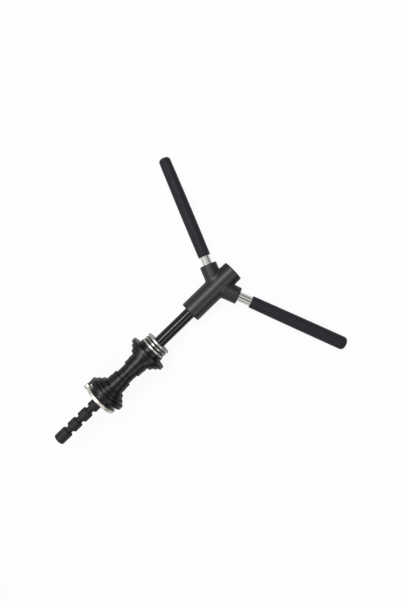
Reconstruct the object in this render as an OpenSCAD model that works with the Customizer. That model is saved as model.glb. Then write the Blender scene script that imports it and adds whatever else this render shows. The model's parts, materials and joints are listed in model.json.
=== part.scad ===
// Headset press for bicycle frames: a grooved spindle, two stepped press discs, a thrust
// bearing and a two-armed screw handle. It lies on a floor, on the rim of its upper disc,
// the top edge of its head and one grip.

/* [Spindle] */
// Diameter of the spindle
spindle_d = 18; // [17:0.5:22]
// Length of the spindle from its tip to its threaded end
spindle_len = 347; // [320:1:420]
// Number of locking grooves
groove_count = 7; // [5:1:7]
// Groove that holds the lock plate, counted from the tip
locked_groove = 4; // [2:1:5]
// Distance from the tip to the middle of the first groove
groove_start = 23.5; // [20:0.5:30]
// Distance from one groove to the next
groove_pitch = 21; // [18:0.5:24]
// Width of a groove
groove_w = 7; // [6.6:0.1:9]
// Diameter of the neck left in a groove
neck_d = 11; // [9:0.5:12]
// Fillet at the bottom of a groove
neck_fillet = 0.7; // [0.3:0.1:1.2]
// Chamfer on the tip
tip_chamfer = 1.3; // [0.5:0.1:2.5]
// Chamfer on the edges of the lands between the grooves
land_chamfer = 0.7; // [0.2:0.1:1.2]
// Width across the two spanner flats on the last land
flats_w = 17; // [14:0.1:17.4]
// Direction that one spanner flat faces, turned from straight up towards the right arm
flats_turn = 65; // [0:1:180]

/* [Screw] */
// Distance that the head moves in one turn
thread_lead = 4; // [3:0.5:5]
// Number of turns that the handle can be unscrewed
handle_turns = 9; // [5:1:10]
// Length of the bronze nut
nut_len = 18; // [14:1:22]
// Wall of the bronze nut
nut_wall = 2; // [1.5:0.1:3]
// Thickness of the stop washer on the end of the spindle
stop_washer_t = 2.5; // [2:0.1:4]
// Diameter of the stop screw, M8
stop_screw_d = 8; // [6:1:10]
// Length of the stop screw's shank
stop_screw_len = 22; // [16:1:30]
// Diameter of the stop screw's button head
stop_screw_head_d = 14; // [12:0.5:16]
// Height of the stop screw's button head
stop_screw_head_h = 4.4; // [3.8:0.1:6]
// Radius on the edge of the stop screw's button head
stop_screw_edge = 3.5; // [2:0.1:3.7]
// Width across flats of the stop screw's hexagon socket
stop_screw_hex = 5; // [4:0.5:6]
// Depth of the stop screw's hexagon socket
stop_screw_hex_depth = 3; // [2:0.1:3.5]

/* [Head] */
// Diameter of the head
head_d = 33; // [31:0.5:40]
// Room between the stop screw and the plug in the head's upper end
head_room = 4.3; // [1:0.1:20]
// Radius on the head's end edges
head_edge = 1.8; // [0.5:0.1:3]
// Distance from the head's mouth to the crossing of the arms
arm_height = 56; // [50:1:70]
// Angle between the spindle and each arm
arm_angle = 68.5; // [60:0.5:80]
// Wall of an arm socket round its rod
socket_wall = 6; // [3:0.1:7]
// Distance from the spindle's axis to the end of a socket
socket_reach = 35.2; // [30:0.1:45]
// Radius on the end edge of a socket
socket_edge = 1.5; // [0.5:0.1:3]
// Depth of the head's mouth, below the nut's shoulder
mouth_depth = 17; // [15:0.5:24]
// Thickness of the shoulder that the nut stands on
nut_shoulder = 2.5; // [2:0.1:5]
// Wall of the nylon guide bush in the mouth
bush_wall = 2.9; // [2:0.1:4]
// Distance from the mouth's edge to the circlip
clip_depth = 1.4; // [1:0.1:3]
// Thickness of the circlip
clip_t = 1.2; // [1:0.1:1.5]
// Radial width of the circlip
clip_w = 2.6; // [2:0.1:3]
// Depth of the circlip's groove in the wall of the mouth
clip_groove = 0.7; // [0.5:0.1:1]
// Opening between the circlip's two ends, in degrees
clip_opening = 44; // [30:1:60]
// Radius of the lugs at the circlip's ends
clip_lug_r = 1.8; // [1.6:0.1:2]
// Radius of the hole in each lug
clip_hole_r = 0.8; // [0.5:0.1:1]
// Thickness of the plug that closes the head's upper end
cap_t = 4; // [3:0.1:6]
// Depth of the plug's face below the head's upper end
cap_recess = 0.8; // [0:0.1:2]

/* [Arms] */
// Diameter of the chromed rods
rod_d = 14; // [12:0.5:17]
// Width of the shoulder between a rod and its screwed spigot
rod_shoulder = 1; // [0.5:0.1:2]
// Wall between the head's bore and the hole of a spigot
bore_wall = 2.1; // [1:0.1:4]
// Room between the outer end of a rod and the closed end of the shorter grip
rod_end_gap = 2.7; // [0.5:0.1:20]
// Depth of the counterbore that the rod's shoulder stands in
rod_counterbore = 3; // [1:0.5:8]
// Length of the left grip
left_grip_len = 158.2; // [120:0.1:180]
// Length of the right grip
right_grip_len = 154.4; // [120:0.1:180]
// Length of rod that shows between the left socket and its grip
left_rod_gap = 13.3; // [5:0.1:25]
// Length of rod that shows between the right socket and its grip
right_rod_gap = 20.3; // [5:0.1:25]
// Wall of a grip at its inner end
grip_inner_wall = 2.2; // [1.5:0.05:4]
// Wall of the left grip at its middle
left_grip_mid_wall = 2.45; // [1.5:0.05:5]
// Wall of the left grip near its tip
left_grip_tip_wall = 1.8; // [1.5:0.05:5]
// Wall of the right grip at its middle
right_grip_mid_wall = 2.75; // [1.5:0.05:5]
// Wall of the right grip near its tip
right_grip_tip_wall = 2.95; // [1.5:0.05:5]
// Thickness of a grip's closed end
grip_end_t = 5; // [3:0.5:8]

/* [Press discs] */
// Diameter of the first guide step
guide1_d = 25.1; // [24:0.1:26]
// Length of the first guide step
guide1_len = 9; // [5:0.5:15]
// Diameter of the second guide step
guide2_d = 29.8; // [28:0.1:30.5]
// Length of the second guide step
guide2_len = 9; // [5:0.5:15]
// Diameter of the third guide step
guide3_d = 31.1; // [30.8:0.1:34]
// Length of the third guide step
guide3_len = 10.5; // [5:0.5:15]
// Diameter of the first pressing ledge
ledge1_d = 41; // [38:0.1:43]
// Height of the first pressing ledge
ledge1_h = 3.2; // [2:0.1:6]
// Diameter of the second pressing ledge
ledge2_d = 44; // [43.2:0.1:48]
// Height of the second pressing ledge
ledge2_h = 3.2; // [2:0.1:6]
// Diameter of the third pressing ledge
ledge3_d = 52.5; // [49:0.1:56]
// Height of the third pressing ledge
ledge3_h = 4.5; // [2:0.1:8]
// Diameter of the flange
flange_d = 61.6; // [58:0.1:75]
// Thickness of the flange
flange_h = 6.1; // [5.5:0.1:9]
// Radius on the flange's edges
flange_edge = 1; // [0.3:0.1:2]
// How far the boss behind the flange stands out round the bearing
boss_edge = 0.6; // [0.2:0.1:2]
// Height of the boss behind the flange
boss_h = 7; // [6.5:0.1:10]
// Chamfer on the steps
step_chamfer = 0.5; // [0.2:0.1:0.8]
// Thickness of the rubber ring in each bore, as squeezed in its groove
ring_t = 2.4; // [1.8:0.1:3]
// Distance from the boss's face to the middle of the rubber ring
ring_depth = 8; // [5:0.5:12]

/* [Thrust bearing] */
// Radial clearance of the bearing's turning washer round the spindle
bearing_fit = 1; // [0.2:0.1:2]
// Extra bore of the washer that stands on the disc
fixed_washer_extra = 2; // [1:0.5:3]
// Diameter of the balls
ball_d = 8; // [7:0.1:9.6]
// Smallest gap between two balls
ball_gap = 0.55; // [0.4:0.05:2]
// Width of a washer inside and outside the balls
race_edge = 1; // [0.8:0.1:2]
// Thickness of steel below and above the balls
race_floor = 3; // [2.5:0.1:4]
// Thickness of each bearing washer
bearing_washer_t = 3.3; // [3.2:0.05:3.8]
// Chamfer on the outer corners of the bearing
bearing_chamfer = 0.6; // [0.3:0.1:1.2]
// Chamfer on the washers' rims beside the balls
race_chamfer = 0.3; // [0.1:0.1:0.6]
// Thickness of the cage's sheet steel
cage_t = 1; // [0.8:0.1:1.4]
// Height of the cage's rim, sheet included
cage_rim_h = 2.2; // [1.4:0.1:3]
// Width of the cage's sheet inside and outside its pockets
cage_web = 0.4; // [0.3:0.1:0.5]

/* [Lock plate] */
// Diameter of the lock plate
plate_d = 54.4; // [50:0.1:56]
// Thickness of the lock plate
plate_t = 4.8; // [4:0.1:5.5]
// Chamfer on the lock plate's rim
plate_edge = 0.6; // [0.2:0.1:1.5]
// Angle that the lock plate swings to let the spindle through
plate_swing = 23; // [21:0.5:26]
// Distance from the flange's rim to the middle of the pivot
pivot_inset = 2.5; // [2:0.1:4]
// Width of the ear round the pivot
ear_wall = 1.4; // [1:0.1:2]
// Distance that the ear's straight sides reach into the plate
ear_root = 7.9; // [4:0.1:9]
// Diameter of the pivot screw, M3
pivot_d = 3; // [2.5:0.1:3.4]
// Length of the pivot screw in the flange
pivot_bite = 4.6; // [3:0.1:5]
// Width of the pivot screw's head and of its washer round the shank
pivot_head_w = 1.2; // [0.8:0.1:1.6]
// Height of the pivot screw's head
pivot_head_h = 1.9; // [1.5:0.1:3]
// Wall of the spacer between flange and ear
spacer_wall = 0.5; // [0.3:0.1:1]
// Thickness of the wave washer under the screw's head
wave_t = 0.5; // [0.3:0.1:1]
// Diameter of the pin that stops the swing
stop_pin_d = 4; // [3:0.5:5]
// Length of the stop pin in the boss
stop_pin_bite = 6; // [4:0.5:8]
// Distance from the spindle's surface to the middle of the stop pin
stop_pin_out = 7; // [6.5:0.1:8]
// Depth of the stop pin's end below the plate's face
stop_pin_recess = 0.7; // [0.2:0.1:2]

/* [Clearances] */
// Radial clearance of parts that turn or slide on each other
running_fit = 0.05; // [0.02:0.01:0.1]
// Radial clearance of parts that are held in each other
held_fit = 0.02; // [0.01:0.01:0.05]
// Gap between faces that turn against each other
face_gap = 0.05; // [0.02:0.01:0.2]
// Clearance of the lock plate's keyhole round the fillet of the spindle's neck
keyhole_fit = 0.1; // [0.05:0.05:0.3]
// Radial clearance of the keyhole's open end on the spindle
keyhole_open_fit = 0.3; // [0.2:0.05:0.5]
// Clearance between the stop washer and the nut at the end of the handle's travel
travel_spare = 0.5; // [0.2:0.1:1]
// Radial clearance of parts that pass each other and never touch
loose_fit = 0.5; // [0.3:0.1:1]
// Radial clearance of a ball in its raceway, and of a rubber ring on the spindle
race_fit = 0.03; // [0.01:0.01:0.05]
// Radial clearance of a ball in its pocket
pocket_fit = 0.1; // [0.05:0.01:0.2]
// Radial clearance of the stop pin in its slot
stop_fit = 0.15; // [0.05:0.01:0.3]

/* [Hidden] */
$fn = 64;
// Segments of a rounded edge, and of the arched sides of a swing slot
arc_steps = 5;
slot_steps = 16;
// How far a cut runs past the face that it opens
through = 1;

// Height of one disc, and the places along the spindle's axis: x = 0 is the plane where
// the two guide sleeves meet, and the head is on the +x side
disc_h = guide1_len + guide2_len + guide3_len + ledge1_h + ledge2_h + ledge3_h + flange_h + boss_h;
flange_top = disc_h - boss_h;
flange_bottom = flange_top - flange_h;
spindle_r = spindle_d / 2;
spindle_bore_r = spindle_r + running_fit;
locked_wall = groove_start + (locked_groove - 1) * groove_pitch + groove_w / 2;
tip_x = -disc_h - locked_wall;
spindle_top_x = tip_x + spindle_len;

// The thread's core is drawn at its mean diameter, so that the nut's bore clears it
thread_r = spindle_r - thread_lead / 4;
handle_travel = handle_turns * thread_lead;
thread_len = handle_travel + nut_len + travel_spare;
nut_x = spindle_top_x - thread_len;
nut_r = spindle_r + nut_wall;
bore_r = nut_r + held_fit;
head_x = nut_x - nut_shoulder - mouth_depth;
head_top_x = spindle_top_x + stop_washer_t + stop_screw_head_h + head_room + cap_t + cap_recess;
head_len = head_top_x - head_x;
arm_x = head_x + arm_height;
bush_r = spindle_bore_r + bush_wall;
mouth_r = bush_r + running_fit;
clip_x = head_x + clip_depth;
bush_x = clip_x + clip_t + face_gap;
bush_len = nut_x - nut_shoulder - face_gap - bush_x;
cap_x = head_top_x - cap_recess - cap_t;
stop_washer_r = bore_r - loose_fit;
stop_screw_r = stop_screw_d / 2;

// The arms
rod_r = rod_d / 2;
spigot_r = rod_r - rod_shoulder;
socket_r = rod_r + socket_wall;
rod_start = (bore_r + bore_wall + spigot_r * cos(arm_angle)) / sin(arm_angle);
left_grip_tip_r = rod_r + left_grip_tip_wall;
right_grip_tip_r = rod_r + right_grip_tip_wall;
left_grip_start = socket_reach + left_rod_gap;
right_grip_start = socket_reach + right_rod_gap;
left_tip = left_grip_start + left_grip_len;
right_tip = right_grip_start + right_grip_len;
rod_reach = min(left_tip, right_tip) - grip_end_t - rod_end_gap;
// Share of a grip's tip radius that is rounded
dome_share = 0.62;

// The bearing stands on the upper disc's boss
bearing_x = disc_h;
bearing_h = ball_d + 2 * race_floor;
bearing_bore_r = spindle_r + bearing_fit;
bearing_r = bearing_bore_r + ball_d + 2 * race_edge;
bearing_top_x = bearing_x + bearing_h;
boss_r = bearing_r + boss_edge;
ball_plane = bearing_h / 2;
ball_pitch_r = (bearing_r + bearing_bore_r) / 2;
ball_count = floor(2 * PI * ball_pitch_r / (ball_d + ball_gap));
race_r = ball_d / 2 + race_fit;
pocket_r = ball_d / 2 + pocket_fit;
cage_inner_r = ball_pitch_r - pocket_r - cage_web;
cage_outer_r = ball_pitch_r + pocket_r + cage_web;

// The rubber ring lies in a groove of the bore and just clears the spindle
ring_r = ring_t / 2;
ring_pitch_r = spindle_r + race_fit + ring_r;
ring_groove_r = ring_pitch_r + ring_r + running_fit;
ring_x = disc_h - ring_depth;

// The lock plate hangs on its pivot, a face gap below the lower disc's boss
plate_x = -disc_h - face_gap;
pivot_r = flange_d / 2 - pivot_inset;
pivot_screw_r = pivot_d / 2;
pivot_head_r = pivot_screw_r + pivot_head_w;
ear_r = pivot_screw_r + ear_wall;
spacer_x = -flange_top - face_gap / 2 - boss_h;
keyhole_r = spindle_r + keyhole_open_fit;
neck_seat_r = neck_d / 2 + neck_fillet + keyhole_fit;
stop_pin_r = spindle_r + stop_pin_out;
stop_pin_reach = plate_t - stop_pin_recess;
stop_slot_r = stop_pin_d / 2 + stop_fit;
stop_arc_r = pivot_r + stop_pin_r;

// How the press lies. Seen from the side, the floor touches two rounded rims: the flange
// of the upper disc and the top edge of the head. This gives the pitch.
rim_x = flange_top - flange_edge;
rim_low_x = flange_bottom + flange_edge;
rim_r = flange_d / 2 - flange_edge;
top_x = head_top_x - head_edge;
top_r = head_d / 2 - head_edge;
rims = norm([top_x - rim_x, rim_r - top_r]);
pitch = atan2(rim_r - top_r, top_x - rim_x) - asin((head_edge - flange_edge) / rims);
lie_height = rim_r * cos(pitch) + rim_x * sin(pitch) + flange_edge;
// The press rolls until the longer arm's grip touches the floor too
tip_edge = right_grip_tip_r * dome_share;
tip_centre = right_tip - tip_edge;
tip_core = right_grip_tip_r - tip_edge;
tip_drop = lie_height - sin(pitch) * arm_x - tip_edge;
arm_slope = sin(asin(tip_drop / norm([tip_centre, tip_core])) - atan2(tip_core, tip_centre));
roll = asin((arm_slope - sin(pitch) * cos(arm_angle)) / (cos(pitch) * sin(arm_angle)));
// The origin is on the floor, below the middle of the whole press
front_reach = arm_x + max(left_tip, right_tip) * cos(arm_angle) + rod_r * sin(arm_angle);
middle_x = (front_reach + tip_x) / 2 * cos(pitch);
middle_y = (left_tip - right_tip) / 2 * sin(arm_angle) * cos(roll);

// Places what is drawn in the press's own frame as the press lies
module as_it_lies() {
    translate([-middle_x, -middle_y, lie_height])
        rotate([roll, pitch, 0])
            children();
}

// Turns what stands on z = 0 to lie along the spindle's axis, from the place x
module on_axis(x) {
    translate([x, 0, 0])
        rotate([0, 90, 0])
            children();
}

// A turned piece, from its half outline as [radius, height] points
module turned(outline, x = 0) {
    on_axis(x)
        rotate_extrude()
            polygon(outline);
}

// A ring between two radii
module tube(x, length, outer_r, inner_r) {
    on_axis(x)
        difference() {
            cylinder(r = outer_r, h = length);
            translate([0, 0, -through])
                cylinder(r = inner_r, h = length + 2 * through);
        }
}

// Places what stands on z = 0 along an arm: side is 1 for the left arm, -1 for the right
module on_arm(side) {
    translate([arm_x, 0, 0])
        rotate([0, 0, side * arm_angle])
            rotate([0, 90, 0])
                children();
}

// Points of an arc round a centre, as [radius, height] pairs
function arc(centre, r, from, to) =
    [for (i = [0 : arc_steps]) centre + r * [cos(from + (to - from) * i / arc_steps),
                                             sin(from + (to - from) * i / arc_steps)]];

// Place of a groove's middle, measured from the tip
function groove_at(i) = groove_start + i * groove_pitch;

// One groove with its chamfered land edges and filleted neck, from the tip side up
function groove_outline(i) =
    let (low = groove_at(i) - groove_w / 2, high = groove_at(i) + groove_w / 2, neck = neck_d / 2)
    concat(
        [[spindle_r, low - land_chamfer], [spindle_r - land_chamfer, low]],
        arc([neck + neck_fillet, low + neck_fillet], neck_fillet, 270, 180),
        arc([neck + neck_fillet, high - neck_fillet], neck_fillet, 180, 90),
        [[spindle_r - land_chamfer, high], [spindle_r, high + land_chamfer]]
    );

spindle_outline = concat(
    [[0, 0], [spindle_r - tip_chamfer, 0], [spindle_r, tip_chamfer]],
    [for (i = [0 : groove_count - 1]) each groove_outline(i)],
    [
        [spindle_r, nut_x - tip_x - land_chamfer],
        [thread_r, nut_x - tip_x],
        [thread_r, spindle_len - land_chamfer],
        [thread_r - land_chamfer, spindle_len],
        [0, spindle_len]
    ]
);

module spindle() {
    flats_len = groove_start - groove_w / 2;
    color("#2c2b30")
        difference() {
            turned(spindle_outline, tip_x);
            on_axis(spindle_top_x - stop_screw_len - through)
                cylinder(r = stop_screw_r + held_fit, h = stop_screw_len + 2 * through);
            for (side = [0, 180])
                rotate([flats_turn + side, 0, 0])
                    translate([tip_x - through, -spindle_d, flats_w / 2])
                        cube([flats_len + through, 2 * spindle_d, spindle_d]);
        }
}

module stop_washer() {
    color("silver")
        tube(spindle_top_x, stop_washer_t, stop_washer_r, stop_screw_r + held_fit);
}

module stop_screw() {
    head_bottom = stop_screw_len - stop_washer_t;
    head_r = stop_screw_head_d / 2;
    head_top = stop_screw_len + stop_screw_head_h;
    color("#3a3a3c")
        on_axis(spindle_top_x - head_bottom)
            difference() {
                rotate_extrude()
                    polygon(concat(
                        [[0, 0], [stop_screw_r - land_chamfer, 0], [stop_screw_r, land_chamfer],
                         [stop_screw_r, stop_screw_len], [head_r, stop_screw_len]],
                        arc([head_r - stop_screw_edge, head_top - stop_screw_edge],
                            stop_screw_edge, 0, 90),
                        [[0, head_top]]
                    ));
                translate([0, 0, head_top - stop_screw_hex_depth])
                    cylinder(r = stop_screw_hex / sqrt(3), h = stop_screw_head_h, $fn = 6);
            }
}

module guide_bush() {
    color("#d9d6c8")
        turned([
            [spindle_bore_r, 0],
            [bush_r - step_chamfer, 0],
            [bush_r, step_chamfer],
            [bush_r, bush_len - step_chamfer],
            [bush_r - step_chamfer, bush_len],
            [spindle_bore_r, bush_len]
        ], bush_x);
}

// The bore of the head: mouth, circlip groove, shoulder, nut seat and room for the stop
module head_bore() {
    on_axis(head_x - through)
        cylinder(r = mouth_r, h = mouth_depth + through);
    on_axis(clip_x - face_gap)
        cylinder(r = mouth_r + clip_groove, h = clip_t + 2 * face_gap);
    on_axis(head_x)
        cylinder(r = spindle_r + loose_fit, h = head_len);
    on_axis(nut_x)
        cylinder(r = bore_r, h = head_len);
}

// A socket of the head, with its end edge rounded
module socket(side) {
    on_arm(side)
        rotate_extrude()
            polygon(concat(
                [[0, 0], [socket_r, 0]],
                arc([socket_r - socket_edge, socket_reach - socket_edge], socket_edge, 0, 90),
                [[0, socket_reach]]
            ));
}

// The hole in a socket: a screwed part for the spigot and a counterbore for the shoulder
module socket_hole(side) {
    on_arm(side) {
        translate([0, 0, rod_start - held_fit])
            cylinder(r = spigot_r + held_fit, h = socket_reach);
        translate([0, 0, socket_reach - rod_counterbore])
            cylinder(r = rod_r + held_fit, h = socket_reach);
    }
}

module handle_head() {
    r = head_d / 2;
    color("#46464a")
        difference() {
            union() {
                turned(concat(
                    [[0, 0]],
                    arc([r - head_edge, head_edge], head_edge, 270, 360),
                    arc([r - head_edge, head_len - head_edge], head_edge, 0, 90),
                    [[0, head_len]]
                ), head_x);
                socket(1);
                socket(-1);
            }
            head_bore();
            socket_hole(1);
            socket_hole(-1);
        }
}

module spindle_nut() {
    color("#b08d57")
        tube(nut_x, nut_len, nut_r, thread_r + running_fit);
}

// An open spring ring with a lug hole beside each end
module bush_circlip() {
    outer_r = mouth_r + clip_groove - held_fit;
    inner_r = outer_r - clip_w;
    lug_at = inner_r + clip_hole_r;
    lug_turn = (clip_opening + clip_lug_r / lug_at * 180 / PI) / 2;
    color("#55555a")
        on_axis(clip_x)
            difference() {
                union() {
                    rotate([0, 0, clip_opening / 2])
                        rotate_extrude(angle = 360 - clip_opening)
                            polygon([[inner_r, 0], [outer_r, 0], [outer_r, clip_t], [inner_r, clip_t]]);
                    for (turn = [lug_turn, -lug_turn])
                        rotate([0, 0, turn])
                            translate([lug_at, 0, 0])
                                cylinder(r = clip_lug_r, h = clip_t);
                }
                for (turn = [lug_turn, -lug_turn])
                    rotate([0, 0, turn])
                        translate([lug_at, 0, -through])
                            cylinder(r = clip_hole_r, h = clip_t + 2 * through);
            }
}

module head_cap() {
    r = bore_r - held_fit;
    color("#242427")
        turned([
            [0, 0],
            [r - step_chamfer, 0],
            [r, step_chamfer],
            [r, cap_t - step_chamfer],
            [r - step_chamfer, cap_t],
            [0, cap_t]
        ], cap_x);
}

// A chromed rod: a screwed spigot, a shoulder and a long plain shank
module rod(side) {
    shoulder = socket_reach - rod_counterbore;
    color("#c9ccd1")
        on_arm(side)
            rotate_extrude()
                polygon([
                    [0, rod_start],
                    [spigot_r - land_chamfer, rod_start],
                    [spigot_r, rod_start + land_chamfer],
                    [spigot_r, shoulder],
                    [rod_r, shoulder],
                    [rod_r, rod_reach - land_chamfer],
                    [rod_r - land_chamfer, rod_reach],
                    [0, rod_reach]
                ]);
}

module left_rod() {
    rod(1);
}

module right_rod() {
    rod(-1);
}

// Radius of a grip at a share of its length, on a curve through its three radii
function grip_r(inner, mid, tip, share) =
    inner * (1 - share) * (1 - 2 * share) + 4 * mid * share * (1 - share)
    + tip * share * (2 * share - 1);

// A rubber grip with a closed, domed end, from its start on the arm
module grip(side, start, length, mid_r, tip_r) {
    rounds = 8;
    inner_r = rod_r + grip_inner_wall;
    edge = tip_r * dome_share;
    body_len = length - edge;
    bore_end = start + length - grip_end_t;
    color("#26242b")
        on_arm(side)
            rotate_extrude()
                polygon(concat(
                    [[rod_r, start]],
                    [for (i = [0 : rounds])
                        [grip_r(inner_r, mid_r, tip_r, i / rounds), start + body_len * i / rounds]],
                    arc([tip_r - edge, start + body_len], edge, 0, 90),
                    [[0, start + length], [0, bore_end], [rod_r, bore_end]]
                ));
}

module left_grip() {
    grip(1, left_grip_start, left_grip_len, rod_r + left_grip_mid_wall, left_grip_tip_r);
}

module right_grip() {
    grip(-1, right_grip_start, right_grip_len, rod_r + right_grip_mid_wall, right_grip_tip_r);
}

// The outer points of one step of a disc, with a chamfer on its leading edge
function step_outline(d, from, to) =
    [[d / 2 - step_chamfer, from], [d / 2, from + step_chamfer], [d / 2, to]];

guide2_at = guide1_len;
guide3_at = guide2_at + guide2_len;
ledge1_at = guide3_at + guide3_len;
ledge2_at = ledge1_at + ledge1_h;
ledge3_at = ledge2_at + ledge2_h;

disc_outline = concat(
    [[spindle_bore_r + step_chamfer, 0]],
    step_outline(guide1_d, 0, guide2_at),
    step_outline(guide2_d, guide2_at, guide3_at),
    step_outline(guide3_d, guide3_at, ledge1_at),
    step_outline(ledge1_d, ledge1_at, ledge2_at),
    step_outline(ledge2_d, ledge2_at, ledge3_at),
    step_outline(ledge3_d, ledge3_at, flange_bottom),
    arc([rim_r, rim_low_x], flange_edge, 270, 360),
    arc([rim_r, rim_x], flange_edge, 0, 90),
    [
        [boss_r, flange_top],
        [boss_r, disc_h - step_chamfer],
        [boss_r - step_chamfer, disc_h],
        [spindle_bore_r + step_chamfer, disc_h],
        [spindle_bore_r, disc_h - step_chamfer],
        [spindle_bore_r, ring_x + ring_r + running_fit],
        [ring_groove_r, ring_x + ring_r + running_fit],
        [ring_groove_r, ring_x - ring_r - running_fit],
        [spindle_bore_r, ring_x - ring_r - running_fit],
        [spindle_bore_r, step_chamfer]
    ]
);

// A stepped press disc, with its guide sleeve starting at x = 0
module press_disc() {
    turned(disc_outline);
}

// A squeezed rubber ring in the bore of a disc
module rubber_ring() {
    on_axis(ring_x)
        rotate_extrude()
            translate([ring_pitch_r, 0])
                circle(r = ring_r);
}

module upper_press_disc() {
    color("#232529")
        translate([face_gap / 2, 0, 0])
            press_disc();
}

module upper_ring() {
    color("#111111")
        translate([face_gap / 2, 0, 0])
            rubber_ring();
}

// A bearing washer with its raceway on the upper side
module bearing_washer(bore_r) {
    difference() {
        rotate_extrude()
            polygon([
                [bore_r, bearing_chamfer],
                [bore_r + bearing_chamfer, 0],
                [bearing_r - bearing_chamfer, 0],
                [bearing_r, bearing_chamfer],
                [bearing_r, bearing_washer_t - race_chamfer],
                [bearing_r - race_chamfer, bearing_washer_t],
                [bore_r, bearing_washer_t]
            ]);
        translate([0, 0, ball_plane])
            rotate_extrude()
                translate([ball_pitch_r, 0])
                    circle(r = race_r);
    }
}

module bearing_lower_washer() {
    color("silver")
        on_axis(bearing_x + face_gap / 2)
            bearing_washer(bearing_bore_r + fixed_washer_extra / 2);
}

module bearing_top_washer() {
    color("silver")
        on_axis(bearing_top_x + face_gap / 2)
            mirror([0, 0, 1])
                bearing_washer(bearing_bore_r);
}

// Sheet cage: a flat ring with a pocket for each ball, and a rim outside them that stands
// level with the middle of the balls
module bearing_cage() {
    rim_inner_r = cage_outer_r - cage_t;
    color("#b9b4a6")
        on_axis(bearing_x + face_gap / 2 + ball_plane - cage_rim_h / 2)
            difference() {
                rotate_extrude()
                    polygon([
                        [cage_inner_r, 0],
                        [cage_outer_r, 0],
                        [cage_outer_r, cage_rim_h],
                        [rim_inner_r, cage_rim_h],
                        [rim_inner_r, cage_t],
                        [cage_inner_r, cage_t]
                    ]);
                for (i = [0 : ball_count - 1])
                    rotate([0, 0, 360 * i / ball_count])
                        translate([ball_pitch_r, 0, -through])
                            cylinder(r = pocket_r, h = cage_rim_h + 2 * through);
            }
}

module bearing_balls() {
    color("#d8dade")
        on_axis(bearing_x + face_gap / 2 + ball_plane)
            for (i = [0 : ball_count - 1])
                rotate([0, 0, 360 * i / ball_count])
                    translate([ball_pitch_r, 0, 0])
                        sphere(r = ball_d / 2);
}

// A hole along x through a piece of the lower disc, at a place across the axis
module cross_hole(y, x, length, r) {
    translate([0, y, 0])
        on_axis(x)
            cylinder(r = r, h = length);
}

module lower_press_disc() {
    color("#232529")
        difference() {
            translate([-face_gap / 2, 0, 0])
                mirror([1, 0, 0])
                    press_disc();
            cross_hole(pivot_r, -flange_top - through, pivot_bite + through, pivot_screw_r + held_fit);
            cross_hole(-stop_pin_r, -disc_h - through, stop_pin_bite + through, stop_pin_d / 2 + held_fit);
        }
}

module lower_ring() {
    color("#111111")
        mirror([1, 0, 0])
            translate([face_gap / 2, 0, 0])
                rubber_ring();
}

// Directions from the pivot, turned from the spindle's side of it, and across them
function spoke(turn) = [sin(turn), -cos(turn)];
function across(turn) = [cos(turn), sin(turn)];

// The round end of a swing slot, without its first and last points
function slot_end(from_pivot, half_w, turn, start) =
    [for (i = [1 : slot_steps - 1])
        let (at = start + 180 * i / slot_steps)
        from_pivot * spoke(turn) + half_w * (cos(at) * spoke(turn) + sin(at) * across(turn))];

// An arched slot round the pivot, as far as the plate swings, with round ends
module swing_slot(from_pivot, half_w) {
    translate([plate_x - plate_t - through, pivot_r, 0])
        rotate([0, 90, 0])
            linear_extrude(plate_t + 2 * through)
                polygon(concat(
                    [for (i = [0 : slot_steps])
                        (from_pivot + half_w) * spoke(plate_swing * i / slot_steps)],
                    slot_end(from_pivot, half_w, plate_swing, 0),
                    [for (i = [slot_steps : -1 : 0])
                        (from_pivot - half_w) * spoke(plate_swing * i / slot_steps)],
                    slot_end(from_pivot, half_w, 0, 180)
                ));
}

// Round plate with an ear at its pivot: the keyhole's narrow end holds the spindle's neck,
// and its open end lets the spindle through once the plate has swung
module lock_plate() {
    x = plate_x - plate_t;
    color("#e6e4da")
        difference() {
            union() {
                turned([
                    [0, 0],
                    [plate_d / 2 - plate_edge, 0],
                    [plate_d / 2, plate_edge],
                    [plate_d / 2, plate_t - plate_edge],
                    [plate_d / 2 - plate_edge, plate_t],
                    [0, plate_t]
                ], x);
                cross_hole(pivot_r, x, plate_t, ear_r);
                translate([x, plate_d / 2 - ear_root, -ear_r])
                    cube([plate_t, pivot_r - plate_d / 2 + ear_root, 2 * ear_r]);
            }
            swing_slot(pivot_r, neck_seat_r);
            swing_slot(stop_arc_r, stop_slot_r);
            translate([0, pivot_r, 0])
                rotate([plate_swing, 0, 0])
                    cross_hole(-pivot_r, x - through, plate_t + 2 * through, keyhole_r);
            cross_hole(pivot_r, x - through, plate_t + 2 * through, pivot_screw_r + running_fit);
        }
}

module pivot_screw() {
    shank_x = plate_x - plate_t - face_gap - wave_t;
    head_x0 = shank_x - pivot_head_h;
    slot_w = 1;
    slot_depth = pivot_head_h / 2;
    color("#8d8a84")
        difference() {
            union() {
                cross_hole(pivot_r, shank_x - slot_depth, -flange_top + pivot_bite - shank_x + slot_depth,
                           pivot_screw_r);
                cross_hole(pivot_r, head_x0, pivot_head_h, pivot_head_r);
            }
            translate([head_x0 - through, pivot_r - slot_w / 2, -pivot_head_r - through])
                cube([slot_depth + through, slot_w, 2 * (pivot_head_r + through)]);
        }
}

module pivot_spacer() {
    color("#1c1c1e")
        translate([0, pivot_r, 0])
            tube(spacer_x, boss_h, pivot_screw_r + spacer_wall, pivot_screw_r + held_fit);
}

module wave_washer() {
    color("silver")
        translate([0, pivot_r, 0])
            tube(plate_x - plate_t - face_gap / 2 - wave_t, wave_t, pivot_head_r,
                 pivot_screw_r + held_fit);
}

module stop_pin() {
    color("#8d8a84")
        cross_hole(-stop_pin_r, plate_x - stop_pin_reach,
                   stop_pin_reach + stop_pin_bite + face_gap, stop_pin_d / 2);
}

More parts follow.
